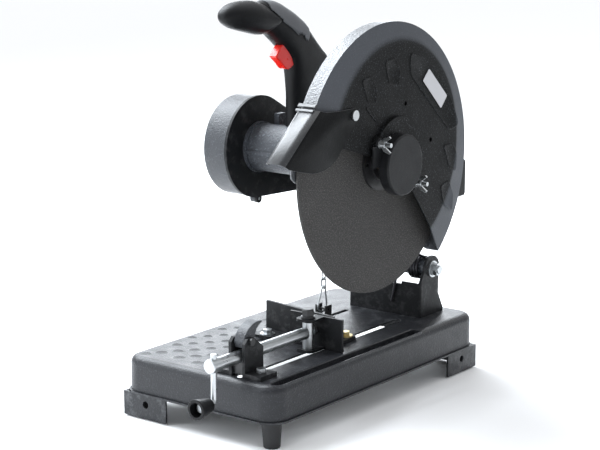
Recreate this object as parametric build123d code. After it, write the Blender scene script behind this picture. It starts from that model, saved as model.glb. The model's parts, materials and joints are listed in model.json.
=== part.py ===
from build123d import *
from math import atan2, cos, hypot, pi, radians, sin
import os

# Abrasive chop saw, 355 mm wheel, belt driven.  Millimetres, +Z up.
#
# Working axes: +X is the operator's right (wheel side), +Y is the back (pivot side).
# Working positions are measured from the middle of the base on the floor.  save() then
# moves everything by ORIGIN_SHIFT, so the written parts stand with the centre of the
# whole saw's footprint at the origin.

ORIGIN_SHIFT = (-17.0, 21.0, 4.0)
GROUND = -4.0             # the floor the feet stand on

# Base pan: pressed steel tray, open underneath, on four rubber feet.
BASE_W = 258.0            # outside of the walls, left to right
BASE_L = 482.0            # outside of the walls, front to back
BASE_TOP = 81.0           # height of the work surface
LIP_Z = 31.0              # underside of the flared lip
LIP_OUT = 3.0             # how far the lip stands out of the walls
LIP_T = 2.5
WALL = 2.5
CORNER_R = 26.0
TOP_FILLET = 11.0
FOOT_X, FOOT_Y = 111.0, 223.0
FOOT_R_TOP, FOOT_R_BOTTOM = 13.5, 11.0

# Slots in the work surface.
SLOT_W = 12.5             # slot beside the vise
FENCE_SLOT_W = 8.0
SLOT_X = 65.0
VISE_X = 58.0             # vise screw and its slot
FENCE_SLOT_X = -27.0      # second fence slot
SLOT_REAR = 133.0
WHEEL_SLOT_W = 15.0

# Wheel, spindle and guard.
WHEEL_X = 117.0
WHEEL_R = 177.5
WHEEL_T = 3.2
BORE_R = 12.7
SPINDLE = (0.0, 336.5)    # (y, z) of the spindle axis
GUARD_C = (2.0, 335.5)
GUARD_R = 188.5
GUARD_LEFT = 110.5        # outer face of the guard's left plate
GUARD_EDGE = 134.0        # where the rim meets the dished right plate
GUARD_FACE = 142.0        # flat middle of the right plate
BOSS_FACE = 147.0
SHEET = 2.0
FACE_C = (10.0, 353.5)    # centre of the guard's flat face
FACE_R = 146.0
BOSS_C = (6.0, 342.0)
STUDS = [(-41.5, 368.5), (45.5, 304.5)]
DEFLECTOR_PIVOT = (-92.0, 412.0)
SHAFT_R = 8.5
HOUSING_R = 33.5          # spindle tube
BEARING_X = (-84.0, 82.0) # left faces of the two spindle bearings

# Arm, pivot and rear bracket.
PIVOT = (187.0, 149.0)    # (y, z) of the arm pivot
PIVOT_R = 6.0
CHEEK_L, CHEEK_R = -41.0, 85.0
CHEEK_T = 4.0
BRACKET_Y = 157.0         # front face of the rear bracket
SPRING_X0, SPRING_PITCH, SPRING_TURNS = 53.0, 4.6, 4
SPRING_R, SPRING_WIRE = 15.6, 1.9

# Belt drive and motor.
MOTOR = (158.0, 293.0)    # (y, z) of the motor shaft
BELT_PLATE_X = -86.0      # inner face of the belt cover's back plate
BELT_PLATE_T = 4.0
COVER_DEPTH = 40.0
COVER_R1, COVER_R2 = 70.5, 33.3
PULLEY_R1, PULLEY_R2 = 48.0, 22.0
MOTOR_R = 52.0

# Handle.
HANDLE_X = -30.0
HANDLE_T = 36.0
TRIGGER_OUTLINE = [(-29, 481), (-41, 472.5), (-38, 468.5), (-14, 450.5),
                   (-9, 451), (6, 461), (10, 474), (-8, 492)]
TRIGGER_PUSH = (0.61, 0.79)   # (y, z) direction in which the trigger is squeezed

# Vise.
ROD_Z = 107.0
ROD_R = 8.4
PLATE_IN = 9.0            # half the gap between the screw bracket's side plates
PLATE_T = 4.5
JAW_PIN_Y = -76.0

# Fence: ends of its front face, as (x, y).
FENCE_LEFT = (-49.0, -32.0)
FENCE_RIGHT = (80.0, -50.0)

# Hold-down chain.
CHAIN_X = -17.0
CHAIN_Y = 60.0
ARM_EYE_Z = 226.0
BASE_EYE_Z = 100.0
WIRE_R = 1.3
LINK_END = 3.6            # centre line radius of a link's round ends
LINK_PITCH = 12.0
HOOK_GAP = 0.3            # gap between hooked wires
UPPER_LINKS = 6
LOWER_LINKS = 2
RING_C = (-2.7, -48.2)    # centre of the end ring, from the middle of the chain
RING_R = 10.1


# ---------------------------------------------------------------- helpers
def save(node, *shapes):
    """Writes one node, as one solid or as a group of separate solids."""
    solids = []
    for shape in shapes:
        solids += shape.solids()
    body = solids[0] if len(solids) == 1 else Compound(children=solids)
    export_step(body.moved(Location(ORIGIN_SHIFT)), f"parts/{node}.step")


def box(x0, x1, y0, y1, z0, z1):
    centre = Location(((x0 + x1) / 2, (y0 + y1) / 2, (z0 + z1) / 2))
    return centre * Box(x1 - x0, y1 - y0, z1 - z0)


def rod_x(x0, x1, y, z, r):
    """Cylinder along X."""
    plane = Plane(origin=(x0, y, z), x_dir=(0, 1, 0), z_dir=(1, 0, 0))
    return extrude(plane * Circle(r), x1 - x0)


def rod_y(y0, y1, x, z, r):
    """Cylinder along Y."""
    plane = Plane(origin=(x, y0, z), x_dir=(1, 0, 0), z_dir=(0, 1, 0))
    return extrude(plane * Circle(r), y1 - y0)


def rod_z(z0, z1, x, y, r):
    """Cylinder along Z."""
    return extrude(Plane(origin=(x, y, z0)) * Circle(r), z1 - z0)


def hex_x(x0, x1, y, z, r):
    plane = Plane(origin=(x0, y, z), x_dir=(0, 1, 0), z_dir=(1, 0, 0))
    return extrude(plane * RegularPolygon(r, 6), x1 - x0)


def hex_z(z0, z1, x, y, r):
    return extrude(Plane(origin=(x, y, z0)) * RegularPolygon(r, 6), z1 - z0)


def prism_x(x0, x1, points):
    """Extrudes a closed outline of (y, z) points along X."""
    plane = Plane(origin=(x0, 0, 0), x_dir=(0, 1, 0), z_dir=(1, 0, 0))
    return extrude(plane * make_face(Polyline(*points, close=True)), x1 - x0)


def prism_z(z0, z1, points):
    """Extrudes a closed outline of (x, y) points along Z."""
    return extrude(Plane(origin=(0, 0, z0)) * make_face(Polyline(*points, close=True)), z1 - z0)


def slot_z(z0, z1, x, y0, y1, width):
    """Round-ended slot along Y, cut through Z."""
    plane = Plane(origin=(x, (y0 + y1) / 2, z0), x_dir=(0, 1, 0))
    return extrude(plane * SlotOverall(y1 - y0, width), z1 - z0)


def two_circle_outline(c1, r1, c2, r2):
    """Face in the YZ plane around two circles and their outer tangents."""
    dy, dz = c2[0] - c1[0], c2[1] - c1[1]
    lean = atan2(dz, dy)
    spread = pi / 2 - atan2(r1 - r2, (dy * dy + dz * dz - (r1 - r2) ** 2) ** 0.5)
    spots = []
    for centre, r, side in ((c1, r1, 1), (c2, r2, 1), (c2, r2, -1), (c1, r1, -1)):
        a = lean + side * spread
        spots.append((centre[0] + r * cos(a), centre[1] + r * sin(a)))
    tip = (c2[0] + r2 * cos(lean), c2[1] + r2 * sin(lean))
    back = (c1[0] - r1 * cos(lean), c1[1] - r1 * sin(lean))
    edges = [
        Line(spots[0], spots[1]),
        ThreePointArc(spots[1], tip, spots[2]),
        Line(spots[2], spots[3]),
        ThreePointArc(spots[3], back, spots[0]),
    ]
    return make_face(edges)


def teardrop_x(x0, x1, inset=0.0):
    """Slab along X with the belt cover's outline, pulled in by inset."""
    plane = Plane(origin=(x0, 0, 0), x_dir=(0, 1, 0), z_dir=(1, 0, 0))
    face = two_circle_outline(SPINDLE, COVER_R1 - inset, MOTOR, COVER_R2 - inset)
    return extrude(plane * face, x1 - x0)


def polar(centre, r, angle_deg):
    a = radians(angle_deg)
    return (centre[0] + r * cos(a), centre[1] + r * sin(a))


def ring_x(x0, x1, y, z, r_out, r_in):
    return rod_x(x0, x1, y, z, r_out) - rod_x(x0 - 1, x1 + 1, y, z, r_in)


# ---------------------------------------------------------------- base
def base_pan():
    footprint = RectangleRounded(BASE_W, BASE_L, CORNER_R)
    outer = extrude(Plane(origin=(0, 0, LIP_Z)) * footprint, BASE_TOP - LIP_Z)
    outer = fillet(outer.edges().group_by(Axis.Z)[-1], TOP_FILLET)
    lip = extrude(
        Plane(origin=(0, 0, LIP_Z))
        * RectangleRounded(BASE_W + 2 * LIP_OUT, BASE_L + 2 * LIP_OUT, CORNER_R + LIP_OUT),
        LIP_T,
    )
    inner = extrude(
        Plane(origin=(0, 0, LIP_Z - 1))
        * RectangleRounded(BASE_W - 2 * WALL, BASE_L - 2 * WALL, CORNER_R - WALL),
        BASE_TOP - WALL - LIP_Z + 1,
    )
    inner = fillet(inner.edges().group_by(Axis.Z)[-1], TOP_FILLET - WALL)
    pan = outer + lip - inner
    low, high = BASE_TOP - 20, BASE_TOP + 1
    pan -= slot_z(low, high, WHEEL_X - 1, -229, 107, WHEEL_SLOT_W + 6)
    pan += wheel_slot_rim()
    pan -= slot_z(low, high, SLOT_X, -178, SLOT_REAR, SLOT_W)
    pan -= slot_z(low, high, FENCE_SLOT_X, -78, SLOT_REAR, FENCE_SLOT_W)
    pan -= box(VISE_X - 7, VISE_X + 7, -229, -205, low, high)
    for x, y in rear_bracket_bolt_spots():
        pan -= rod_z(low, high, x, y, 4.2)
    for x, y in vise_bolt_spots():
        pan -= rod_z(low, high, x, y, 4.2)
    for x, y in foot_spots():
        boss = rod_z(LIP_Z, LIP_Z + 4, x, y, 15) - rod_z(LIP_Z - 1, LIP_Z + 5, x, y, 3.2)
        tie_x = box(min(x, x * 1.14), max(x, x * 1.14), y - 6, y + 6, LIP_Z, LIP_Z + 4)
        pan += boss + (tie_x - rod_z(LIP_Z - 1, LIP_Z + 5, x, y, 3.2))
    return pan


def wheel_slot_rim():
    """Edge of the wheel slot, drawn down into the pan and rounded at the top."""
    rim = slot_z(BASE_TOP - 11, BASE_TOP, WHEEL_X - 1, -229, 107, WHEEL_SLOT_W + 6)
    rim -= slot_z(BASE_TOP - 12, BASE_TOP + 1, WHEEL_X - 1, -226, 104, WHEEL_SLOT_W)
    inner = rim.edges().group_by(Axis.Z)[-1].filter_by(lambda e: e.bounding_box().max.X < WHEEL_X + 8)
    return fillet(inner.filter_by(lambda e: e.bounding_box().min.X > WHEEL_X - 10), 2.2)


def foot_spots():
    return [(sx * FOOT_X, sy * FOOT_Y) for sx in (-1, 1) for sy in (-1, 1)]


def rubber_feet():
    feet = []
    for x, y in foot_spots():
        foot = loft([
            Plane(origin=(x, y, GROUND)) * Circle(FOOT_R_BOTTOM),
            Plane(origin=(x, y, LIP_Z)) * Circle(FOOT_R_TOP),
        ])
        foot = fillet(foot.edges().group_by(Axis.Z)[0], 1.5)
        feet.append(foot - rod_z(GROUND + 2, LIP_Z + 1, x, y, 3.3))
    return feet


def corner_bracket(sx, sy):
    """Angle plate under the lip that wraps one corner, with a hole in each leg."""
    leg, thick, low = 75.0, 3.0, GROUND + 2
    x, y = BASE_W / 2, BASE_L / 2
    front = box(x - leg, x, y - thick, y, low, LIP_Z)
    side = box(x - thick, x, y - leg, y, low, LIP_Z)
    tab = box(x - leg, x - 37, y - 14, y - thick, LIP_Z - 3, LIP_Z)
    plate = front + side + tab
    plate -= rod_y(y - thick - 1, y + 1, x - 39, 17.5, 5.0)
    plate -= rod_x(x - thick - 1, x + 1, y - 39, 17.5, 5.0)
    if sx < 0:
        plate = mirror(plate, Plane.YZ)
    if sy < 0:
        plate = mirror(plate, Plane.XZ)
    return plate


# ---------------------------------------------------------------- rear bracket and pivot
def rear_bracket_bolt_spots():
    return [(x, y) for x in (CHEEK_L + 20, CHEEK_R - 20) for y in (171, 205)]


def rear_bracket():
    """U-shaped plate: front wall, two cheeks that carry the pivot, and a foot."""
    py, pz = PIVOT
    top = BASE_TOP
    cheek = [(BRACKET_Y, top), (217, top), (217, top + 5), (204, top + 29), (204, 128), (206, 146)]
    cheek += [polar(PIVOT, 19.5, a) for a in range(0, 181, 20)]
    cheek += [(BRACKET_Y, 131)]
    wall = box(CHEEK_L, CHEEK_R, BRACKET_Y, BRACKET_Y + CHEEK_T, top, 131)
    foot = box(CHEEK_L, CHEEK_R, BRACKET_Y, 217, top, top + CHEEK_T)
    bracket = wall + foot
    for x0 in (CHEEK_L, CHEEK_R - CHEEK_T):
        bracket += prism_x(x0, x0 + CHEEK_T, cheek)
    bracket = fillet(bracket.edges().filter_by(Axis.Z).group_by(Axis.Y)[0], 3.5)
    bracket -= rod_x(CHEEK_L - 1, CHEEK_R + 1, py, pz, PIVOT_R + 0.05)
    bracket -= box(30, 52, BRACKET_Y - 1, BRACKET_Y + CHEEK_T + 1, 127, 132)
    for x, y in rear_bracket_bolt_spots():
        bracket -= rod_z(top - 1, top + CHEEK_T + 1, x, y, 4.2)
    return bracket


def hex_bolt_down(x, y, bottom, seat, r_head=6.5, r_shank=4.0, head=5.5):
    """Vertical hex bolt with its head on seat and its shank through the sheet."""
    bolt = hex_z(seat, seat + head, x, y, r_head)
    return bolt + rod_z(bottom, seat, x, y, r_shank)


def washer_and_nut(x, y, z, r_washer=8.0, r_shank=4.0):
    """Washer and nut that hang under the sheet, from height z downwards."""
    washer = rod_z(z - 1.6, z, x, y, r_washer) - rod_z(z - 3, z + 1, x, y, r_shank)
    nut = hex_z(z - 8, z - 1.6, x, y, 7.2) - rod_z(z - 9, z, x, y, r_shank)
    return washer + nut


def base_bolts():
    """Bolts of the rear bracket and the vise brackets, and the screws of the feet."""
    parts = []
    for x, y in rear_bracket_bolt_spots():
        parts.append(hex_bolt_down(x, y, BASE_TOP - WALL - 12, BASE_TOP + CHEEK_T))
    for x, y in vise_bolt_spots():
        parts.append(hex_bolt_down(x, y, BASE_TOP - WALL - 12, BASE_TOP + 6))
    for x, y in foot_spots():
        parts.append(rod_z(GROUND + 3, LIP_Z + 10, x, y, 3.0) + hex_z(LIP_Z + 4, LIP_Z + 9, x, y, 5.8))
    return parts


def base_nuts():
    return [washer_and_nut(x, y, BASE_TOP - WALL) for x, y in rear_bracket_bolt_spots() + vise_bolt_spots()]


def pivot_bolt():
    py, pz = PIVOT
    bolt = rod_x(CHEEK_L - 2, CHEEK_R + 14, py, pz, PIVOT_R)
    return bolt + hex_x(CHEEK_L - 9, CHEEK_L - 2, py, pz, 10.5)


def pivot_washers():
    py, pz = PIVOT
    left = ring_x(CHEEK_L - 2, CHEEK_L, py, pz, 13, PIVOT_R)
    right = ring_x(CHEEK_R, CHEEK_R + 2.5, py, pz, 12.0, PIVOT_R)
    right_small = ring_x(CHEEK_R + 2.5, CHEEK_R + 4.5, py, pz, 9.8, PIVOT_R)
    return [left, right, right_small]


def pivot_nut():
    py, pz = PIVOT
    x0 = CHEEK_R + 4.5
    return hex_x(x0, x0 + 7, py, pz, 9.0) - rod_x(x0 - 1, x0 + 8, py, pz, PIVOT_R)


def pivot_bushings():
    """Bronze bushes pressed into the two ends of the arm's pivot tube."""
    py, pz = PIVOT
    return [
        ring_x(CHEEK_L + CHEEK_T + 0.5, CHEEK_L + CHEEK_T + 18, py, pz, 9.0, PIVOT_R + 0.05),
        ring_x(CHEEK_R - CHEEK_T - 18, CHEEK_R - CHEEK_T - 0.5, py, pz, 9.0, PIVOT_R + 0.05),
    ]


# ---------------------------------------------------------------- return spring


def wire_along(path, radius):
    return sweep(Plane(origin=path @ 0, z_dir=path % 0) * Circle(radius), path=path)


def return_spring():
    """Torsion coil around the pivot tube; its front leg hooks over the bracket wall."""
    py, pz = PIVOT
    height = SPRING_PITCH * SPRING_TURNS
    helix = Helix(SPRING_PITCH, height, SPRING_R, center=(SPRING_X0, py, pz), direction=(1, 0, 0))
    profile = Plane(origin=helix @ 0, z_dir=helix % 0) * Circle(SPRING_WIRE)
    coil = sweep(profile, path=helix, is_frenet=True)
    top, front = pz + SPRING_R, BRACKET_Y - 2.6
    hook = [(SPRING_X0, py, top), (SPRING_X0 - 3, py - 20, top - 1), (SPRING_X0 - 9, front, top - 30)]
    front_leg = wire_along(FilletPolyline(*hook, (SPRING_X0 - 16, front, 100), radius=5), SPRING_WIRE)
    last = SPRING_X0 + height
    rise = [(last, py, top), (last - 6, py - 18, top + 9), (28, py - 34, top + 22)]
    arm_leg = wire_along(FilletPolyline(*rise, radius=4), SPRING_WIRE)
    return coil + front_leg + arm_leg


# ---------------------------------------------------------------- vise
def vise_bolt_spots():
    return [(VISE_X - 24, -208.0), (VISE_X + 24, -208.0)]


def vise_bracket(side):
    """Upright plate with a foot that is bolted to the base; side is -1 or +1."""
    front, rear, top = -228.0, -190.0, 132.0
    profile = [(front, BASE_TOP), (front, top - 6), (front + 6, top)]
    profile += [(-210, top), (rear, 116), (rear, BASE_TOP)]
    inner, outer = PLATE_IN, PLATE_IN + PLATE_T
    plate = prism_x(VISE_X + inner, VISE_X + outer, profile)
    foot = box(VISE_X + inner, VISE_X + 39, front, -194, BASE_TOP, BASE_TOP + 6)
    plate += foot
    plate -= rod_z(BASE_TOP - 1, BASE_TOP + 7, VISE_X + 24, -208, 4.2)
    plate -= rod_x(VISE_X, VISE_X + 20, -215, 127, 3.0)
    if side < 0:
        plate = mirror(plate, Plane(origin=(VISE_X, 0, 0), z_dir=(1, 0, 0)))
    return plate


def screw_cradle():
    """Block between the plates with a half-round bed that the screw turns in."""
    block = box(VISE_X - PLATE_IN, VISE_X + PLATE_IN, -224, -198, BASE_TOP + 2, ROD_Z - 0.5)
    return block - rod_y(-226, -196, VISE_X, ROD_Z, ROD_R + 0.08)


def half_nut_pin():
    end = PLATE_IN + PLATE_T
    pin = rod_x(VISE_X - end - 1.5, VISE_X + end, -215, 127, 3.0)
    return pin + rod_x(VISE_X + end, VISE_X + end + 3, -215, 127, 5.0)


def half_nut_lever():
    """Lever whose threaded saddle drops onto the screw."""
    outline = [(-222, 124), (-219, 133), (-213, 136.5), (-203, 143), (-190, 148.5), (-185.5, 147)]
    outline += [(-187, 143), (-196, 137), (-197, 107.5), (-210, 107.5), (-212, 119)]
    lever = prism_x(VISE_X - 8.5, VISE_X + 8.5, outline)
    lever = fillet(lever.edges().filter_by(Axis.X), 1.2)
    lever -= rod_y(-225, -180, VISE_X, ROD_Z, ROD_R + 0.4)
    lever -= box(VISE_X - 8.8, VISE_X + 8.8, -213, -196, 100, 107.6)
    return lever - rod_x(VISE_X - 9, VISE_X + 9, -215, 127, 3.05)


def vise_screw():
    """Long screw; its rear end is turned down to pass through the jaw's pivot pin."""
    shaft = rod_y(-281, JAW_PIN_Y - 8, VISE_X, ROD_Z, ROD_R)
    neck = rod_y(JAW_PIN_Y - 8, JAW_PIN_Y + 14, VISE_X, ROD_Z, 4.0)
    head = rod_y(-283, -266, VISE_X, ROD_Z, ROD_R + 1.1)
    screw = fillet((shaft + head).edges().group_by(Axis.Y)[0], 1.5) + neck
    return screw - rod_z(ROD_Z - 12, ROD_Z + 12, VISE_X, -274, 4.0)


def screw_end_nut():
    y = JAW_PIN_Y + 8.2
    washer = rod_y(y, y + 1.2, VISE_X, ROD_Z, 6.5) - rod_y(y - 1, y + 6, VISE_X, ROD_Z, 4.0)
    plane = Plane(origin=(VISE_X, y + 1.2, ROD_Z), x_dir=(1, 0, 0), z_dir=(0, 1, 0))
    nut = extrude(plane * RegularPolygon(6.4, 6), 4) - rod_y(y - 1, y + 6, VISE_X, ROD_Z, 4.0)
    return [washer, nut]


def crank_handle():
    """Bent bar: down from the screw head, then forward through the grip."""
    path = FilletPolyline((VISE_X, -274, 122), (VISE_X, -274, 57), (VISE_X, -299.5, 57), radius=7)
    bar = sweep(Plane(origin=path @ 0, z_dir=path % 0) * Circle(4.0), path=path)
    return bar + rod_y(-301, -299, VISE_X, 57, 5.8)


def crank_knob():
    """Round grip, recessed at the front, that turns on the end of the bar."""
    grip = loft([
        Plane(origin=(VISE_X, -310, 57), x_dir=(1, 0, 0), z_dir=(0, 1, 0)) * Circle(14.0),
        Plane(origin=(VISE_X, -283.5, 57), x_dir=(1, 0, 0), z_dir=(0, 1, 0)) * Circle(9.0),
    ])
    grip = fillet(grip.edges().group_by(Axis.Y)[0], 1.2)
    grip -= rod_y(-312, -298.6, VISE_X, 57, 9.5)
    return grip - rod_y(-312, -280, VISE_X, 57, 4.06)


def jaw_pivot_sleeve():
    pin = rod_z(BASE_TOP + 0.6, 127.4, VISE_X, JAW_PIN_Y, 7.5)
    pin -= rod_y(JAW_PIN_Y - 10, JAW_PIN_Y + 10, VISE_X, ROD_Z, 4.06)
    return pin


def jaw_channel():
    """Flat jaw with two ears that turn on the pivot sleeve."""
    y = JAW_PIN_Y
    plate = box(14, 102, y + 17, y + 21, BASE_TOP + 0.5, 127)
    ears = box(VISE_X - 14, VISE_X + 14, y - 13, y + 18, BASE_TOP + 0.5, BASE_TOP + 4)
    ears += box(VISE_X - 14, VISE_X + 14, y - 13, y + 18, 123.5, 127)
    ears = fillet(ears.edges().filter_by(Axis.Z).group_by(Axis.Y)[0], 8)
    return plate + ears - rod_z(BASE_TOP, 130, VISE_X, y, 7.56)


def jaw_cap_bolt():
    cap = rod_z(127.4, 130, VISE_X, JAW_PIN_Y, 9.5)
    head = hex_z(130, 140, VISE_X, JAW_PIN_Y, 8.5)
    round_top = Cone(9, 6.5, 3).moved(Location((VISE_X, JAW_PIN_Y, 138.5)))
    return cap + (head & (rod_z(130, 137, VISE_X, JAW_PIN_Y, 9) + round_top))


# ---------------------------------------------------------------- fence
def fence_bolt_spots():
    return [(FENCE_SLOT_X, -57.0), (SLOT_X, 0.0)]


def fence_plate():
    """Angle plate with one ear at the front and one at the back."""
    (x0, y0), (x1, y1) = FENCE_LEFT, FENCE_RIGHT
    wall = prism_z(BASE_TOP + 0.3, 126, [(x0, y0), (x1, y1), (x1 + 0.6, y1 + 4.5), (x0 + 0.6, y0 + 4.5)])
    low, high = BASE_TOP + 0.3, BASE_TOP + 5
    front_ear = prism_z(low, high, [(x0, y0 + 2), (-44, -68), (-12, -68), (-6, -36)])
    rear_ear = prism_z(low, high, [(30, -41), (46, 15), (76, 15), (x1, y1 + 3)])
    ears = fillet(front_ear.edges().filter_by(Axis.Z).group_by(Axis.Y)[0], 7)
    ears += fillet(rear_ear.edges().filter_by(Axis.Z).group_by(Axis.Y)[-1], 9)
    rib = prism_x(34, 38, [(-42, high - 1), (-42, 120), (-14, high - 1)])
    fence = wall + ears + rib
    for x, y in fence_bolt_spots():
        fence -= rod_z(low - 1, high + 1, x, y, 3.6)
    return fence


def fence_bolts():
    """Bolt, washers and nut at each ear; the shanks run in the slots of the base."""
    parts = []
    seat, under = BASE_TOP + 5, BASE_TOP - WALL - 0.4
    for x, y in fence_bolt_spots():
        bolt = rod_z(seat, seat + 1.6, x, y, 10.5) + hex_z(seat + 1.6, seat + 7, x, y, 6.5)
        bolt += rod_z(under - 9, seat, x, y, 3.5)
        nut = rod_z(under - 2, under, x, y, 10.5) + hex_z(under - 8, under - 2, x, y, 6.5)
        parts += [bolt, nut - rod_z(under - 9, under + 1, x, y, 3.5)]
    return parts


# ---------------------------------------------------------------- hold-down chain
def link(z, flat):
    """One chain link centred at height z; flat links lie in the XZ plane."""
    length = LINK_PITCH + 2 * WIRE_R + HOOK_GAP
    half = length / 2 - LINK_END
    x_dir = (1, 0, 0) if flat else (0, 1, 0)
    plane = Plane(origin=(CHAIN_X, CHAIN_Y, z), x_dir=x_dir, z_dir=(0, -1, 0) if flat else (1, 0, 0))
    path = Wire([
        Line((LINK_END, -half), (LINK_END, half)),
        ThreePointArc((LINK_END, half), (0, half + LINK_END), (-LINK_END, half)),
        Line((-LINK_END, half), (-LINK_END, -half)),
        ThreePointArc((-LINK_END, -half), (0, -half - LINK_END), (LINK_END, -half)),
    ])
    path = plane.from_local_coords(path)
    return sweep(Plane(origin=path @ 0, z_dir=path % 0) * Circle(WIRE_R), path=path)


def links(top, count):
    """Chain of count links hanging from a cross wire at height top."""
    first = top - (LINK_PITCH / 2 + HOOK_GAP / 2 + WIRE_R - 2 * WIRE_R - HOOK_GAP)
    return [link(first - i * LINK_PITCH, i % 2 == 1) for i in range(count)]


def chain_upper():
    return links(ARM_EYE_Z, UPPER_LINKS)


def chain_lower():
    """Two links and a large end ring that rides on the pin of the base eye."""
    middle = ARM_EYE_Z - UPPER_LINKS * LINK_PITCH
    hook = middle - LOWER_LINKS * LINK_PITCH + 2 * WIRE_R + HOOK_GAP - LINK_END
    big = (CHAIN_Y + RING_C[0], middle + RING_C[1])
    plane = Plane(origin=(CHAIN_X, 0, 0), x_dir=(0, 1, 0), z_dir=(1, 0, 0))
    outline = two_circle_outline((CHAIN_Y, hook), LINK_END, big, RING_R)
    path = plane.from_local_coords(outline.face().outer_wire())
    ring = sweep(Plane(origin=path @ 0, z_dir=path % 0) * Circle(WIRE_R), path=path)
    return links(middle, LOWER_LINKS) + [ring]


def chain_eye(pin_z, foot_z, pin_r):
    """Fork with a cross pin that the chain hooks on."""
    low, high = min(foot_z, pin_z - 6), max(foot_z, pin_z + 6)
    fork = box(CHAIN_X - 9.5, CHAIN_X - 7, CHAIN_Y - 7, CHAIN_Y + 7, low, high)
    fork += box(CHAIN_X + 7, CHAIN_X + 9.5, CHAIN_Y - 7, CHAIN_Y + 7, low, high)
    return fork + rod_x(CHAIN_X - 11, CHAIN_X + 11, CHAIN_Y, pin_z, pin_r)


def chain_arm_eye():
    top = ARM_EYE_Z + 14
    bridge = box(CHAIN_X - 9.5, CHAIN_X + 9.5, CHAIN_Y - 7, CHAIN_Y + 7, top - 2, top)
    return chain_eye(ARM_EYE_Z, top, WIRE_R) + bridge


def chain_base_eye():
    fork = chain_eye(BASE_EYE_Z, BASE_TOP, 1.8)
    for side in (-1, 1):
        x0, x1 = sorted((CHAIN_X + side * 9.5, CHAIN_X + side * 23.5))
        fork += box(x0, x1, CHAIN_Y - 7, CHAIN_Y + 7, BASE_TOP, BASE_TOP + 2.5)
    return fork


# ---------------------------------------------------------------- arm
def arm_casting():
    """Pivot tube, beam, motor saddle and spindle tube, cast in one piece."""
    sy, sz = SPINDLE
    py, pz = PIVOT
    beam = [(187, 137), (150, 158), (68, 240), (52, 240), (28, 300), (0, 336), (10, 366), (60, 368)]
    beam += [(106, 330), (114, 262), (150, 236), (190, 236), (199, 150)]
    body = prism_x(-26, 24, beam)
    pocket = [(170, 160), (120, 196), (74, 250), (48, 300), (60, 330)]
    pocket += [(96, 320), (104, 262), (140, 226), (180, 226)]
    body -= prism_x(-14, 12, pocket)
    body -= prism_x(-14, 12, [(168, 130), (120, 196), (74, 250), (50, 230), (150, 130)])
    body += rod_x(CHEEK_L + CHEEK_T + 0.5, CHEEK_R - CHEEK_T - 0.5, py, pz, 12.0)
    body += prism_x(-26, 24, [(0, 336), (20, 366), (60, 368), (40, 330)])
    body -= box(-49, -11.5, -14, 64, 336, 400)
    body += rod_x(-86, 98, sy, sz, HOUSING_R)
    body += rod_x(-86, -80, sy, sz, 36)
    body += rod_x(96, GUARD_LEFT, sy, sz, 54)
    body += prism_x(-66, -58, [(10, 336), (10, 384), (24, 384), (62, 352), (62, 336), (34, 320)])
    body -= rod_x(-100, 120, *MOTOR, MOTOR_R + 0.1)
    body -= rod_x(-87, 103, sy, sz, 20.0)
    body -= rod_x(102, 112, sy, sz, 42.0)
    body -= rod_x(-60, 80, py, pz, 7.5)
    body -= rod_x(CHEEK_L, CHEEK_L + CHEEK_T + 18, py, pz, 9.0)
    body -= rod_x(CHEEK_R - CHEEK_T - 18, CHEEK_R, py, pz, 9.0)
    return body


def bearing(x0, width, axis, r_out, r_in):
    outer = ring_x(x0, x0 + width, *axis, r_out, r_out - (r_out - r_in) * 0.3)
    inner = ring_x(x0, x0 + width, *axis, r_in + (r_out - r_in) * 0.3, r_in)
    web = ring_x(x0 + 1, x0 + width - 1, *axis, r_out - 1, r_in + 1)
    return outer + inner + web


def ball_bearings():
    parts = [bearing(x, 14, SPINDLE, 20.0, SHAFT_R + 0.03) for x in BEARING_X]
    parts.append(bearing(-84, 8, MOTOR, 12.0, 5.03))
    parts.append(bearing(60, 8, MOTOR, 12.0, 5.03))
    return parts


def spindle():
    """Shaft with a collar for the inner flange and a pilot for the wheel bore."""
    y, z = SPINDLE
    shaft = rod_x(-124, 112, y, z, SHAFT_R) + rod_x(99, 104, y, z, 11)
    return shaft + rod_x(112, 119, y, z, BORE_R)


def inner_flange():
    flange = rod_x(104, 113, *SPINDLE, 20) + rod_x(111, WHEEL_X - WHEEL_T / 2, *SPINDLE, 38)
    return flange - rod_x(103, 112, *SPINDLE, SHAFT_R) - rod_x(112, 118, *SPINDLE, BORE_R)


def abrasive_wheel():
    x = WHEEL_X - WHEEL_T / 2
    wheel = rod_x(x, x + WHEEL_T, *SPINDLE, WHEEL_R)
    return wheel - rod_x(x - 1, x + WHEEL_T + 1, *SPINDLE, BORE_R)


def outer_flange():
    x = WHEEL_X + WHEEL_T / 2
    flange = rod_x(x, x + 4, *SPINDLE, 38) + rod_x(x + 4, x + 8, *SPINDLE, 24)
    flange -= rod_x(x - 1, 119.0, *SPINDLE, BORE_R)
    flange -= rod_x(x - 1, x + 9, *SPINDLE, 5)
    return flange - rod_x(x - 1, x + 5, SPINDLE[0] - 31, SPINDLE[1], 2.5)


def arbor_bolt():
    x = WHEEL_X + WHEEL_T / 2 + 8
    return hex_x(x + 2, x + 8, *SPINDLE, 9) + rod_x(x, x + 2, *SPINDLE, 12) + rod_x(119, x, *SPINDLE, 5)


def pulley(x0, x1, axis, r, bore):
    wheel = rod_x(x0, x1, *axis, r)
    ribs = int((x1 - x0 - 4) // 3)
    for i in range(ribs):
        x = x0 + 3 + 3 * i
        wheel -= ring_x(x, x + 1.4, *axis, r + 1, r - 1.5)
    return wheel - rod_x(x0 - 1, x1 + 1, *axis, bore)


def spindle_pulley():
    return pulley(-120, -96, SPINDLE, PULLEY_R1, SHAFT_R) - ring_x(-122, -114, *SPINDLE, 40, 16)


def motor_pulley():
    return pulley(-120, -96, MOTOR, PULLEY_R2, 5.0)


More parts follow.
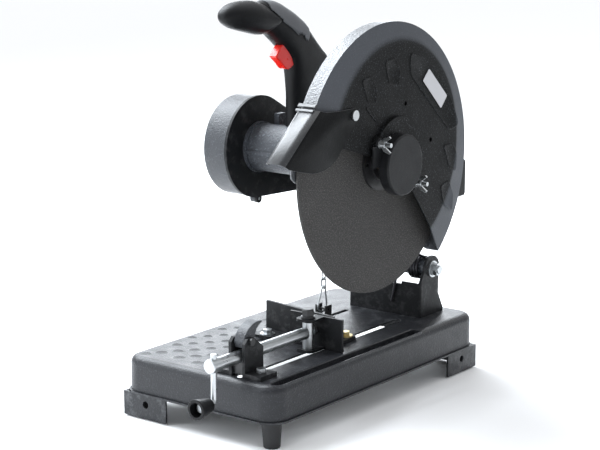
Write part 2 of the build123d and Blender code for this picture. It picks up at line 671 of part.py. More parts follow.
def drive_belt():
    """Flat ribbed belt that runs 0.3 mm clear of both pulleys."""
    plane = Plane(origin=(-117, 0, 0), x_dir=(0, 1, 0), z_dir=(1, 0, 0))
    outer = two_circle_outline(SPINDLE, PULLEY_R1 + 3.3, MOTOR, PULLEY_R2 + 3.3)
    inner = two_circle_outline(SPINDLE, PULLEY_R1 + 0.3, MOTOR, PULLEY_R2 + 0.3)
    return extrude(plane * outer, 18) - extrude(plane * inner, 18)


# ---------------------------------------------------------------- belt cover
def cover_ear_spots():
    return [(0.0, 261.5), (106.4, 364.5), (194.8, 282.8)]


def belt_back_plate():
    plate = teardrop_x(BELT_PLATE_X - BELT_PLATE_T, BELT_PLATE_X, -1.6)
    for y, z in cover_ear_spots():
        plate += rod_x(BELT_PLATE_X - BELT_PLATE_T, BELT_PLATE_X, y, z, 6)
        plate -= rod_x(BELT_PLATE_X - BELT_PLATE_T - 1, BELT_PLATE_X + 1, y, z, 2.1)
    plate -= rod_x(-100, -80, *SPINDLE, 11)
    return plate - rod_x(-100, -80, *MOTOR, 8)


def belt_cover():
    left, right = BELT_PLATE_X - BELT_PLATE_T - COVER_DEPTH, BELT_PLATE_X - BELT_PLATE_T
    shell = teardrop_x(left, right)
    shell = fillet(shell.edges().group_by(Axis.X)[0], 4)
    shell += rod_x(left - 3, left + 2, *SPINDLE, 46)
    for y, z in cover_ear_spots():
        shell += rod_x(right - 8, right, y, z, 5.5)
    shell -= teardrop_x(left + 2, right + 1, 2)
    for y, z in cover_ear_spots():
        shell -= rod_x(right - 9, right + 1, y, z, 2.1)
    return shell


# ---------------------------------------------------------------- motor
def motor_housing():
    barrel = rod_x(-82, 58, *MOTOR, MOTOR_R) - rod_x(-78, 59, *MOTOR, MOTOR_R - 3)
    flange = rod_x(-86, -78, *MOTOR, 40) - rod_x(-87, -70, *MOTOR, 12.0)
    barrel -= rod_x(-90, -77, *MOTOR, 12.0)
    for i in range(10):
        y, z = polar(MOTOR, MOTOR_R - 1, 36 * i)
        if z > MOTOR[1] - 20:
            barrel -= rod_x(-74, -56, y, z, 4)
    return barrel + flange


def motor_end_cap():
    cap = rod_x(58, 78, *MOTOR, MOTOR_R)
    cap = fillet(cap.edges().group_by(Axis.X)[-1], 8)
    cap -= rod_x(57, 74, *MOTOR, MOTOR_R - 4)
    cap += rod_x(60, 76, *MOTOR, 15)
    cap -= rod_x(59, 72, *MOTOR, 12)
    for i in range(8):
        y, z = polar(MOTOR, 30, 22.5 + 45 * i)
        cap -= rod_x(72, 79, y, z, 5)
    for side in (90, -90):
        y, z = polar(MOTOR, MOTOR_R, side)
        cap -= rod_z(z - 10, z + 10, 66, y, 6)
    return cap


def brush_caps():
    y, z = MOTOR
    top = rod_z(z + MOTOR_R - 8, z + MOTOR_R + 1.5, 66, y, 6)
    top += rod_z(z + MOTOR_R, z + MOTOR_R + 2.5, 66, y, 8)
    low = rod_z(z - MOTOR_R - 1.5, z - MOTOR_R + 8, 66, y, 6)
    low += rod_z(z - MOTOR_R - 2.5, z - MOTOR_R, 66, y, 8)
    return [top, low]


def motor_stator():
    return ring_x(-44, 30, *MOTOR, MOTOR_R - 3, 28)


def motor_armature():
    body = rod_x(-122, 70, *MOTOR, 5.0) + rod_x(-44, 30, *MOTOR, 26) + rod_x(34, 52, *MOTOR, 13)
    fan = rod_x(-70, -66, *MOTOR, 44)
    for i in range(12):
        blade = box(-66, -54, MOTOR[0] + 12, MOTOR[0] + 43, MOTOR[1] - 1, MOTOR[1] + 1)
        fan += rotate_about_motor(blade, 30 * i)
    return body + fan + rod_x(-70, -54, *MOTOR, 13)


def rotate_about_motor(shape, angle):
    return shape.rotate(Axis((0, *MOTOR), (1, 0, 0)), angle)


def wiring_box():
    """Junction box on the back of the motor, where the supply cord enters."""
    block = box(20, 88, 209, 268, 246, 300)
    block = fillet(block.edges().filter_by(Axis.X), 5)
    block -= rod_x(10, 90, *MOTOR, MOTOR_R + 0.1)
    block -= box(23, 85, 214, 265, 249, 297)
    return block - rod_z(240, 252, 40, 240, 7)


def cord_gland():
    body = rod_z(240, 252, 40, 240, 7) + hex_z(240, 246, 40, 240, 10)
    body += rod_z(222, 240, 40, 240, 7.5)
    return body - rod_z(220, 255, 40, 240, 3.6)


# ---------------------------------------------------------------- handle and trigger
def handle_face():
    """Side outline of the handle, with y and z on the handle's middle plane."""
    top = Spline((-152, 541), (-140, 547), (-108, 550), (-70, 548), (-48, 547), (-22, 537),
                 (0, 526), (22, 512), (45, 491), (64, 474), (86, 459))
    tip = ThreePointArc((-152, 541), (-156, 531), (-146, 521))
    under = Spline((-146, 521), (-112, 510), (-77, 503), (-55, 502), (-42, 494), (-24, 481))
    front = Polyline((-24, 481), (-8, 464), (-11, 445), (-13, 340))
    back = Polyline((-13, 340), (52, 340), (60, 385), (84, 432), (86, 459))
    return make_face(Wire([top, tip, under] + list(front.edges()) + list(back.edges())))


def handle_slab(x0, x1):
    plane = Plane(origin=(x0, 0, 0), x_dir=(0, 1, 0), z_dir=(1, 0, 0))
    return extrude(plane * handle_face(), x1 - x0)


def handle_inset_slab(x0, x1, inset):
    """Slab inside the handle's outline, with the outline cut into short straight sides."""
    border = handle_face().face().outer_wire()
    spots = [border @ (i / 90) for i in range(90)]
    inside = offset(make_face(Polyline(*spots, close=True)), -inset, kind=Kind.INTERSECTION)
    plane = Plane(origin=(x0, 0, 0), x_dir=(0, 1, 0), z_dir=(1, 0, 0))
    return extrude(plane * inside, x1 - x0)


def handle_body():
    left, right = HANDLE_X - HANDLE_T / 2, HANDLE_X + HANDLE_T / 2
    body = handle_slab(left, right)
    body = fillet(body.edges().group_by(Axis.X)[0] + body.edges().group_by(Axis.X)[-1], 7)
    return body - rod_x(left - 1, right + 1, *SPINDLE, HOUSING_R + 0.05)


def grip_region():
    """Space taken by the soft overlay: top and back of the grip."""
    outline = [(-62, 560), (-66, 530), (-30, 520), (0, 506), (13, 498), (24, 494)]
    outline += [(38, 486), (50, 478), (66, 462), (86, 452), (120, 455), (60, 560)]
    return prism_x(HANDLE_X - 30, HANDLE_X + 30, outline)


def handle_core():
    half = HANDLE_T / 2 - 2.5
    return handle_inset_slab(HANDLE_X - half, HANDLE_X + half, 2.5)


def handle_half(body, side):
    """One moulded half, with the trigger's recess and a hollow inside."""
    core = handle_core()
    grip = grip_region()
    half = (body - grip) + (core & grip & body)
    inner = HANDLE_T / 2 - 5.5
    half -= handle_inset_slab(HANDLE_X - inner, HANDLE_X + inner, 6) - box(-60, 0, -30, 90, 330, 376)
    half -= trigger_space()
    keep = box(HANDLE_X - 40, HANDLE_X, -170, 100, 300, 570)
    if side > 0:
        keep = box(HANDLE_X, HANDLE_X + 40, -170, 100, 300, 570)
    return half & keep


def soft_grip(body):
    return (body & grip_region()) - handle_core()


def trigger():
    paddle = prism_x(HANDLE_X - 9, HANDLE_X + 9, TRIGGER_OUTLINE)
    return fillet(paddle.edges().filter_by(Axis.X), 1.2)


def trigger_space():
    """Trigger's outline swept over its travel, 0.6 mm clear all round."""
    dy, dz = TRIGGER_PUSH
    space = None
    for travel in (-0.5, 1.5, 3.5, 5.0):
        spots = [(y + dy * travel, z + dz * travel) for y, z in TRIGGER_OUTLINE]
        plane = Plane(origin=(HANDLE_X - 9.6, 0, 0), x_dir=(0, 1, 0), z_dir=(1, 0, 0))
        slab = extrude(plane * offset(make_face(Polyline(*spots, close=True)), 0.6), 19.2)
        space = slab if space is None else space + slab
    return space


# ---------------------------------------------------------------- guard
def left_region():
    outline = [(-230, 356), (-189, 352), (-186.2, 343.3), (-181.4, 337.3), (-175.2, 332.7), (-167, 330)]
    outline += [(-58, 302), (-20, 285), (40, 282), (60, 276), (128, 191), (150, 160)]
    return prism_x(100, 160, outline + [(260, 160), (260, 560), (-230, 560)])


def right_region():
    outline = [(-19.6, 343), (-178, 391), (-230, 407), (-230, 560), (260, 560), (260, 160), (150, 160)]
    outline += [(128, 191), (101, 225), (75, 257), (60, 276), (50, 288), (30, 318)]
    return prism_x(100, 160, outline)


def guard_rim():
    """Left half of the guard: side plate and rim, drawn from one sheet."""
    shell = rod_x(GUARD_LEFT, GUARD_EDGE, *GUARD_C, GUARD_R)
    shell = fillet(shell.edges().group_by(Axis.X)[0], 5)
    inside = rod_x(GUARD_LEFT + SHEET, GUARD_EDGE + 20, *GUARD_C, GUARD_R - SHEET)
    shell -= fillet(inside.edges().group_by(Axis.X)[0], 3)
    shell &= left_region()
    shell -= box(GUARD_LEFT + SHEET + 1, 160, -240, -150, 320, 354)
    shell -= rod_x(100, 120, *SPINDLE, 42)
    return shell


def dish(shift, shrink):
    back = Plane(origin=(GUARD_EDGE + shift, *GUARD_C), x_dir=(0, 1, 0), z_dir=(1, 0, 0))
    front = Plane(origin=(GUARD_FACE + shift, *FACE_C), x_dir=(0, 1, 0), z_dir=(1, 0, 0))
    return loft([back * Circle(GUARD_R - shrink), front * Circle(FACE_R - shrink)])


def boss(x0, x1, r, pad_r):
    """Raised disc with a small pad at each stud."""
    disc = rod_x(x0, x1, *BOSS_C, r)
    for y, z in STUDS:
        disc += rod_x(x0, x1, y, z, pad_r)
    return disc


def guard_face():
    """Right half of the guard: dished plate with a raised boss around the spindle."""
    plate = dish(0, 0) + boss(GUARD_FACE - 1, BOSS_FACE, 57, 9.5)
    plate -= dish(-SHEET, 0.8)
    plate -= boss(GUARD_FACE - 4, BOSS_FACE - SHEET, 55, 7.5)
    plate -= rod_x(GUARD_EDGE - 5, GUARD_EDGE, *GUARD_C, GUARD_R + 2)
    plate &= right_region()
    plate -= rod_x(130, 150, *SPINDLE, 26)
    for y, z in ((28, 413.5), (90, 357)):
        plate -= rod_x(130, 150, y, z, 3.2)
    for y, z in STUDS + [DEFLECTOR_PIVOT]:
        plate -= rod_x(130, 150, y, z, 3.05)
    return plate


def hub_cover():
    """Round cap over the arbor bolt, held by two lugs."""
    y, z = SPINDLE
    cap = rod_x(BOSS_FACE + 0.3, 162, y, z, 41)
    cap = fillet(cap.edges().group_by(Axis.X)[-1], 2.5)
    cap -= rod_x(BOSS_FACE, 160.4, y, z, 39.4)
    lugs = None
    for ly, lz in STUDS:
        d = hypot(ly - y, lz - z)
        uy, uz = (ly - y) / d, (lz - z) / d
        ry, rz = y + 38 * uy, z + 38 * uz
        outline = [(ly + 8 * uz, lz - 8 * uy), (ly - 8 * uz, lz + 8 * uy)]
        outline += [(ry - 12 * uz, rz + 12 * uy), (ry + 12 * uz, rz - 12 * uy)]
        lug = prism_x(BOSS_FACE + 0.3, BOSS_FACE + 2.3, outline)
        lug += rod_x(BOSS_FACE + 0.3, BOSS_FACE + 2.3, ly, lz, 8)
        lugs = lug if lugs is None else lugs + lug
    lugs += box(BOSS_FACE + 0.3, BOSS_FACE + 2.3, -56, -36, 338, 366)
    lugs -= rod_x(BOSS_FACE, 160, y, z, 39.4)
    cap += lugs
    for ly, lz in STUDS:
        cap -= rod_x(BOSS_FACE - 1, BOSS_FACE + 5, ly, lz, 3.05)
    return cap


def guard_fasteners():
    """Two studs for the wing nuts and the deflector's screw."""
    parts = []
    for y, z in STUDS:
        stud = rod_x(BOSS_FACE - SHEET - 3, BOSS_FACE - SHEET, y, z, 7)
        parts.append(stud + rod_x(BOSS_FACE - SHEET, 167, y, z, 3.0))
    y, z = DEFLECTOR_PIVOT
    screw = rod_x(GUARD_FACE - SHEET - 4, 144.6, y, z, 3.0) + rod_x(144.6, 146.8, y, z, 6.8)
    parts.append(screw + rod_x(GUARD_FACE - SHEET - 4, GUARD_FACE - SHEET, y, z, 5.5))
    return parts


def wing_nut(spot):
    y, z = spot
    nut = Plane(origin=(BOSS_FACE + 3.0, y, z), x_dir=(0, 1, 0), z_dir=(1, 0, 0)) * Circle(5.6)
    top = Plane(origin=(BOSS_FACE + 11, y, z), x_dir=(0, 1, 0), z_dir=(1, 0, 0)) * Circle(4.4)
    body = loft([nut, top])
    profile = [(3, BOSS_FACE + 5), (9, BOSS_FACE + 9), (11.6, BOSS_FACE + 17), (9.6, BOSS_FACE + 19.5),
               (7, BOSS_FACE + 16), (3, BOSS_FACE + 10.6)]
    for side in (-1, 1):
        spots = [(x, side * r) for r, x in profile]
        plane = Plane(origin=(0, y - 1.3, z), x_dir=(1, 0, 0), z_dir=(0, 1, 0))
        wing = extrude(plane * make_face(Polyline(*[(a, -b) for a, b in spots], close=True)), 2.6)
        body += wing
    return body - rod_x(BOSS_FACE, BOSS_FACE + 22, y, z, 3.06)


# ---------------------------------------------------------------- spark deflector
def spark_deflector():
    """Bent sheet over the front of the wheel, hung on one screw."""
    outline = [(-166.6, 426.5), (-150, 422.3), (-123, 421), (-92, 421), (-85.6, 418.4)]
    outline += [(-83, 412), (-85.6, 405.6), (-116.7, 371.2), (-124.2, 364.8), (-131.7, 358.3)]
    outline += [(-141.6, 352.3), (-154, 348.7), (-166.2, 347.5), (-178.4, 348.1)]
    outline += [(-202.3, 353.4), (-225.9, 360), (-234.6, 366.5)]
    bend = [(GUARD_FACE + 0.5, 0), (GUARD_FACE + 0.5, -139), (139, -172), (139, -250), (140.5, -250),
            (140.5, -172), (GUARD_FACE + 2, -139), (GUARD_FACE + 2, 0)]
    side = prism_z(320, 440, bend) & prism_x(130, 150, outline)
    front = [(-166, 426), (-234, 366), (-235.2, 367), (-167.2, 427), (-161.2, 436), (-160, 435)]
    band = prism_x(108, 140.5, front)
    edge = [(-160, 435), (-167.2, 427), (-235.2, 367), (-225, 361), (-196, 372), (-166, 408)]
    left = prism_x(107, 108.5, edge)
    sheet = side + band + left
    return sheet - rod_x(140, 150, *DEFLECTOR_PIVOT, 3.06)


# ---------------------------------------------------------------- screws of the arm
def arm_screws():
    """Belt cover screws, handle screws and the guard's mounting screws."""
    parts = []
    right = BELT_PLATE_X - BELT_PLATE_T
    for y, z in cover_ear_spots():
        parts.append(rod_x(right - 8, right + 4, y, z, 2.1) + rod_x(right - 10, right - 8, y, z, 4))
    return parts


def main():
    os.makedirs("parts", exist_ok=True)
    save("base_pan", base_pan())
    save("rubber_feet", *rubber_feet())
    save("corner_bracket_front_left", corner_bracket(-1, -1))
    save("corner_bracket_rear_right", corner_bracket(1, 1))
    save("rear_bracket", rear_bracket())
    save("base_bolts", *base_bolts())
    save("base_nuts", *base_nuts())
    save("pivot_bolt", pivot_bolt())
    save("pivot_nut_and_washers", pivot_nut(), *pivot_washers())
    save("pivot_bushings", *pivot_bushings())
    save("return_spring", return_spring())
    save("vise_bracket_left", vise_bracket(-1))
    save("vise_bracket_right", vise_bracket(1))
    save("screw_cradle", screw_cradle())
    save("half_nut_pin", half_nut_pin())
    save("half_nut_lever", half_nut_lever())
    save("vise_screw", vise_screw())
    save("screw_end_nut", *screw_end_nut())
    save("crank_handle", crank_handle())
    save("crank_knob", crank_knob())
    save("jaw_pivot_sleeve", jaw_pivot_sleeve())
    save("jaw_channel", jaw_channel())
    save("jaw_cap_bolt", jaw_cap_bolt())
    save("fence_plate", fence_plate())
    save("fence_bolts", *fence_bolts())
    save("chain_upper", *chain_upper())
    save("chain_lower", *chain_lower())
    save("chain_arm_eye", chain_arm_eye())
    save("chain_base_eye", chain_base_eye())
    save("arm_casting", arm_casting())
    save("ball_bearings", *ball_bearings())
    save("spindle", spindle())
    save("inner_flange", inner_flange())
    save("abrasive_wheel", abrasive_wheel())
    save("outer_flange", outer_flange())
    save("arbor_bolt", arbor_bolt())
    save("spindle_pulley", spindle_pulley())
    save("motor_pulley", motor_pulley())
    save("drive_belt", drive_belt())
    save("belt_back_plate", belt_back_plate())
    save("belt_cover", belt_cover())
    save("motor_housing", motor_housing())
    save("motor_end_cap", motor_end_cap())
    save("brush_caps", *brush_caps())
    save("motor_stator", motor_stator())
    save("motor_armature", motor_armature())
    save("wiring_box", wiring_box())
    save("cord_gland", cord_gland())
    body = handle_body()
    save("handle_left", handle_half(body, -1))
    save("handle_right", handle_half(body, 1))
    save("soft_grip", soft_grip(body))
    save("trigger", trigger())
    save("guard_rim", guard_rim())
    save("guard_face", guard_face())
    save("hub_cover", hub_cover())
    save("guard_fasteners", *guard_fasteners())
    save("wing_nut_front", wing_nut(STUDS[0]))
    save("wing_nut_rear", wing_nut(STUDS[1]))
    save("spark_deflector", spark_deflector())
    save("arm_screws", *arm_screws())


main()
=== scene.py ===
import json
import math

import bmesh
import bpy
from mathutils import Matrix, Vector


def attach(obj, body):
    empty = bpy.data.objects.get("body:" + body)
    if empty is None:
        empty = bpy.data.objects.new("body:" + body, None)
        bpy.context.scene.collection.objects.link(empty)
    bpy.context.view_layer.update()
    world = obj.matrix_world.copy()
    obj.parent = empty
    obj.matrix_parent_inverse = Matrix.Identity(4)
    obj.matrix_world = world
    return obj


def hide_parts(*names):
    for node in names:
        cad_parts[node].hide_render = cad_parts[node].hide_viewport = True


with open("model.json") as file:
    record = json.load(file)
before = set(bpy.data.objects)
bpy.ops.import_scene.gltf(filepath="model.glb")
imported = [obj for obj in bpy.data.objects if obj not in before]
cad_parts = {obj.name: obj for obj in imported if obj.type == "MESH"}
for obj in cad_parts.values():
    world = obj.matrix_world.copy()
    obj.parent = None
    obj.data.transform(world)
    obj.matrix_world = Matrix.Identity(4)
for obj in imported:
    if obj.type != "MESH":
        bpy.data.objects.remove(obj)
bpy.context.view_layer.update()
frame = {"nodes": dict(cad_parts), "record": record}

# Working positions are millimetres from the middle of the base; at() moves them to the frame.
SHIFT_X, SHIFT_Y, SHIFT_Z = -17.0, 21.0, 4.0
WORK_SURFACE = 81.0            # top of the base
HANDLE_X = -30.0               # middle plane of the handle
FACE_CENTRE = (10.0, 353.5)    # (y, z) of the guard's flat face
FACE_X, FACE_RADIUS = 142.0, 146.0


def at(x, y, z):
    return Vector(((x + SHIFT_X) / 1000, (y + SHIFT_Y) / 1000, (z + SHIFT_Z) / 1000))


# ------------------------------------------------------------------ materials
def new_material(name, color, rough, metal=0.0, coat=0.0, spec=0.5):
    m = bpy.data.materials.new(name)
    m.use_nodes = True
    shader = m.node_tree.nodes["Principled BSDF"]
    shader.inputs["Base Color"].default_value = (*color, 1)
    shader.inputs["Roughness"].default_value = rough
    shader.inputs["Metallic"].default_value = metal
    shader.inputs["Coat Weight"].default_value = coat
    shader.inputs["Specular IOR Level"].default_value = spec
    shader.inputs["Coat Roughness"].default_value = 0.25
    return m, m.node_tree, shader


def noise(tree, coords, scale, detail=3.0, rough=0.55, stretch=None):
    node = tree.nodes.new("ShaderNodeTexNoise")
    node.inputs["Scale"].default_value = scale
    node.inputs["Detail"].default_value = detail
    node.inputs["Roughness"].default_value = rough
    if stretch:
        mapping = tree.nodes.new("ShaderNodeMapping")
        mapping.inputs["Scale"].default_value = stretch
        tree.links.new(coords, mapping.inputs["Vector"])
        coords = mapping.outputs["Vector"]
    tree.links.new(coords, node.inputs["Vector"])
    return node.outputs["Fac"]


def ramp(tree, fac, stops):
    node = tree.nodes.new("ShaderNodeValToRGB")
    band = node.color_ramp
    while len(band.elements) < len(stops):
        band.elements.new(0.5)
    for element, (pos, value) in zip(band.elements, stops):
        element.position = pos
        element.color = (*value, 1) if isinstance(value, tuple) else (value, value, value, 1)
    tree.links.new(fac, node.inputs["Fac"])
    return node.outputs["Color"]


def mix(tree, fac, a, b):
    """Colour a where fac is 0 and b where it is 1; a and b are sockets or colours."""
    node = tree.nodes.new("ShaderNodeMix")
    node.data_type = "RGBA"
    for value, index in ((fac, 0), (a, 6), (b, 7)):
        socket = node.inputs[index]
        if isinstance(value, (tuple, list)):
            socket.default_value = (*value, 1)
        elif isinstance(value, float):
            socket.default_value = value
        else:
            tree.links.new(value, socket)
    return node.outputs[2]


def bump(tree, height, strength, distance, shader, previous=None):
    node = tree.nodes.new("ShaderNodeBump")
    node.inputs["Strength"].default_value = strength
    node.inputs["Distance"].default_value = distance
    tree.links.new(height, node.inputs["Height"])
    if previous:
        tree.links.new(previous, node.inputs["Normal"])
    tree.links.new(node.outputs["Normal"], shader.inputs["Normal"])
    return node.outputs["Normal"]


def tint(color, k):
    return tuple(min(1.0, c * k) for c in color)


def surface(name, color, rough, metal=0.0, grain=900.0, depth=0.5, distance=0.0003, spread=0.18,
            coat=0.0, wear=None, speck=0.0, stretch=None, rough_spread=0.06, spec=0.5):
    """Finish with fine grain, soft colour drift, uneven gloss and, if asked, rubbed edges and specks."""
    m, tree, shader = new_material(name, color, rough, metal, coat, spec)
    coords = tree.nodes.new("ShaderNodeTexCoord").outputs["Object"]
    fine = noise(tree, coords, grain, 2.0, 0.6, stretch)
    broad = noise(tree, coords, 9.0, 4.0, 0.6)
    base = mix(tree, broad, tint(color, 1 - spread), tint(color, 1 + spread))
    if speck:
        dots = ramp(tree, fine, [(0.58, 0.0), (0.70, 1.0)])
        base = mix(tree, dots, base, tint(color, 1 + speck))
    if wear:
        point = tree.nodes.new("ShaderNodeNewGeometry").outputs["Pointiness"]
        edge = ramp(tree, point, [(0.52, 0.0), (0.60, 1.0)])
        patch = ramp(tree, noise(tree, coords, 60.0, 5.0, 0.7), [(0.50, 0.0), (0.66, 0.7)])
        node = tree.nodes.new("ShaderNodeMath")
        node.operation = "MULTIPLY"
        tree.links.new(edge, node.inputs[0])
        tree.links.new(patch, node.inputs[1])
        base = mix(tree, node.outputs[0], base, wear)
    tree.links.new(base, shader.inputs["Base Color"])
    gloss = ramp(tree, noise(tree, coords, 35.0, 4.0, 0.6),
                 [(0.3, max(0.02, rough - rough_spread)), (0.7, min(1.0, rough + rough_spread))])
    tree.links.new(gloss, shader.inputs["Roughness"])
    bump(tree, fine, depth, distance, shader)
    return m


def abrasive_finish():
    """Coarse bonded grit: dark grains of several sizes with sparkling and pale ones."""
    color = (0.040, 0.0385, 0.0375)
    m, tree, shader = new_material("abrasive_grit", color, 0.85, spec=0.35)
    coords = tree.nodes.new("ShaderNodeTexCoord").outputs["Object"]
    cells = tree.nodes.new("ShaderNodeTexVoronoi")
    cells.inputs["Scale"].default_value = 430.0
    tree.links.new(coords, cells.inputs["Vector"])
    grit = noise(tree, coords, 620.0, 3.0, 0.7)
    broad = noise(tree, coords, 14.0, 4.0, 0.6)
    base = mix(tree, broad, tint(color, 0.75), tint(color, 1.3))
    base = mix(tree, ramp(tree, grit, [(0.52, 0.0), (0.68, 1.0)]), base, (0.150, 0.145, 0.139))
    # The pits made by the cell bump are darkened toward near-black: painted shade in the pits.
    pit_shade = ramp(tree, cells.outputs["Distance"], [(0.0, 0.6), (0.25, 0.0)])
    base = mix(tree, pit_shade, base, (0.02, 0.02, 0.02))
    tree.links.new(base, shader.inputs["Base Color"])
    first = bump(tree, cells.outputs["Distance"], 0.7, 0.0006, shader)
    bump(tree, grit, 0.6, 0.0004, shader, first)
    return m


def zinc_finish(name="zinc_plate", color=(0.56, 0.58, 0.59), right=None):
    """Bright zinc: metallic, cloudy, with fine scratches; right is the colour on the +X side."""
    m, tree, shader = new_material(name, color, 0.30, 1.0)
    coords = tree.nodes.new("ShaderNodeTexCoord").outputs["Object"]
    cloud = noise(tree, coords, 55.0, 5.0, 0.65)
    lines = noise(tree, coords, 260.0, 3.0, 0.6, (1.0, 0.08, 1.0))
    base = mix(tree, cloud, tint(color, 0.72), tint(color, 1.15))
    if right:
        split = tree.nodes.new("ShaderNodeSeparateXYZ")
        tree.links.new(coords, split.inputs["Vector"])
        side = ramp(tree, split.outputs["X"], [(0.0, 0.0), (0.001, 1.0)])
        base = mix(tree, side, base, mix(tree, cloud, tint(right, 0.72), tint(right, 1.15)))
    tree.links.new(base, shader.inputs["Base Color"])
    tree.links.new(ramp(tree, cloud, [(0.3, 0.24), (0.7, 0.44)]), shader.inputs["Roughness"])
    bump(tree, lines, 0.25, 0.0002, shader)
    return m


finishes = {
    "base_paint": surface("base_paint", (0.0150, 0.0158, 0.0187), 0.37, grain=460, depth=0.8,
                          distance=0.0008, speck=1.6, wear=(0.10, 0.105, 0.11), spec=0.36),
    "black_powder_coat": surface("black_powder_coat", (0.0075, 0.0080, 0.0090), 0.46, grain=1300,
                                 depth=0.45, speck=1.4, wear=(0.05, 0.05, 0.052), spec=0.20),
    "grey_paint": surface("grey_paint", (0.034, 0.037, 0.043), 0.42, grain=420, depth=1.0,
                          distance=0.0009, speck=1.1),
    "cast": surface("cast_paint", (0.050, 0.055, 0.064), 0.42, grain=340, depth=1.0,
                    distance=0.0016, speck=1.9),
    "zinc": zinc_finish(),
    "yellow_zinc": zinc_finish("yellow_zinc", (0.62, 0.51, 0.27)),
    "black_steel": surface("black_oxide", (0.012, 0.012, 0.013), 0.38, grain=1100, depth=0.3,
                           speck=0.8),
    "spring_steel": surface("spring_wire", (0.045, 0.045, 0.050), 0.35, metal=0.8, grain=700,
                            depth=0.3),
    "bronze": surface("sintered_bronze", (0.45, 0.30, 0.14), 0.45, metal=1.0, grain=1500,
                      depth=0.5),
    "steel": surface("machined_steel", (0.48, 0.49, 0.50), 0.30, metal=1.0, grain=400,
                     depth=0.3, stretch=(6.0, 0.3, 0.3)),
    "abrasive": abrasive_finish(),
    "black_plastic": surface("black_plastic", (0.0052, 0.0054, 0.0060), 0.45, grain=1500,
                             depth=0.4, speck=0.8, spec=0.2),
    # The grey of the rubber skin is real but set lighter than its own grey, partly a painted highlight
    # on its lit top.
    "soft_grip": surface("soft_grip", (0.125, 0.129, 0.137), 0.62, grain=1600, depth=0.5,
                         speck=0.5, spec=0.4),
    "red_plastic": surface("red_plastic", (0.86, 0.018, 0.010), 0.32, grain=300, depth=0.06,
                           spread=0.05, coat=0.25),
    "rubber": surface("rubber", (0.016, 0.016, 0.017), 0.62, grain=1000, depth=0.5, speck=0.6,
                      spec=0.45),
    "copper_iron": surface("laminations", (0.20, 0.13, 0.09), 0.45, metal=0.7, grain=900,
                           depth=0.6, stretch=(8.0, 0.2, 0.2)),
    # Painted highlight: a lighter, glossier copy of the hood paint for the sloping band.
    "deflector_paint": surface("deflector_paint", (0.022, 0.0232, 0.0252), 0.33, grain=520,
                               depth=0.6, distance=0.0004, speck=1.2, spec=0.7),
    # Painted shade: a darker, duller copy of the same hood paint for the flat side.
    "deflector_side": surface("deflector_side_painted_shade", (0.0060, 0.0063, 0.0066), 0.45, grain=520,
                              depth=0.6, distance=0.0004, speck=1.2, spec=0.08),
    "foil": surface("plain_foil", (0.52, 0.52, 0.54), 0.34, metal=0.6, grain=700, depth=0.15,
                    spread=0.10, stretch=(0.2, 4.0, 0.2)),
}


def smooth_by_angle(o, angle=32.0):
    """Smooth shading with sharp edges kept where faces meet steeply."""
    mesh = o.data
    mesh.shade_smooth()
    mesh.set_sharp_from_angle(angle=math.radians(angle))


slot_of = {s["node"]: s["material_slot"] for s in frame["record"]["subparts"]}
for node, o in frame["nodes"].items():
    o.data.materials.clear()
    o.data.materials.append(finishes[slot_of[node]])


def radial_finish(name, inner, outer, centre, radius):
    """Black paint on the flat middle of the guard, changing past the radius to a lighter tone: a painted
    highlight on the sloping edge.
    """
    m, tree, shader = new_material(name, inner, 0.46, spec=0.09)
    coords = tree.nodes.new("ShaderNodeTexCoord").outputs["Object"]
    away = tree.nodes.new("ShaderNodeVectorMath")
    away.operation = "DISTANCE"
    flat = tree.nodes.new("ShaderNodeVectorMath")
    flat.operation = "MULTIPLY"
    flat.inputs[1].default_value = (0.0, 1.0, 1.0)
    tree.links.new(coords, flat.inputs[0])
    tree.links.new(flat.outputs["Vector"], away.inputs[0])
    away.inputs[1].default_value = (0.0, centre.y, centre.z)
    fine = noise(tree, coords, 520.0, 2.0, 0.6)
    broad = noise(tree, coords, 11.0, 4.0, 0.6)
    # Past the face radius the colour turns to the lighter edge tone, a painted highlight.
    edge = ramp(tree, away.outputs["Value"], [(radius - 0.002, 0.0), (radius + 0.004, 1.0)])
    dark = mix(tree, broad, tint(inner, 0.8), tint(inner, 1.2))
    edge_highlight = mix(tree, broad, tint(outer, 0.85), tint(outer, 1.15))
    base = mix(tree, edge, dark, edge_highlight)
    dots = ramp(tree, fine, [(0.58, 0.0), (0.72, 0.55)])
    base = mix(tree, dots, base, tint(outer, 1.5))
    tree.links.new(base, shader.inputs["Base Color"])
    gloss = ramp(tree, noise(tree, coords, 35.0, 4.0, 0.6), [(0.3, 0.42), (0.7, 0.52)])
    tree.links.new(gloss, shader.inputs["Roughness"])
    bump(tree, fine, 0.8, 0.0006, shader)
    return m


# The second colour is the painted highlight on the guard's sloping edge ring.
frame["nodes"]["guard_face"].data.materials[0] = radial_finish(
    "guard_paint_edge_highlight", (0.0060, 0.0063, 0.0064), (0.080, 0.085, 0.095), at(0, *FACE_CENTRE),
    FACE_RADIUS / 1000)
# The rim gets a much lighter copy of the dark paint: a painted highlight where the rim faces the light.
frame["nodes"]["guard_rim"].data.materials[0] = surface(
    "rim_paint_painted_highlight", (0.105, 0.110, 0.119), 0.34, grain=400, depth=1.0, distance=0.0011, speck=1.0, spec=0.9)
frame["nodes"]["fence_bolts"].data.materials[0] = zinc_finish(
    "fence_bolt_plate", right=(0.62, 0.50, 0.24))


# ------------------------------------------------------------------ mesh helpers
def piece(name, verts, faces, finish, body, angle=32.0):
    mesh = bpy.data.meshes.new(name)
    mesh.from_pydata([tuple(v) for v in verts], [], faces)
    bm = bmesh.new()
    bm.from_mesh(mesh)
    bmesh.ops.recalc_face_normals(bm, faces=bm.faces)
    bm.to_mesh(mesh)
    bm.free()
    o = bpy.data.objects.new(name, mesh)
    bpy.context.scene.collection.objects.link(o)
    mesh.materials.append(finishes[finish])
    smooth_by_angle(o, angle)
    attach(o, body)
    return o


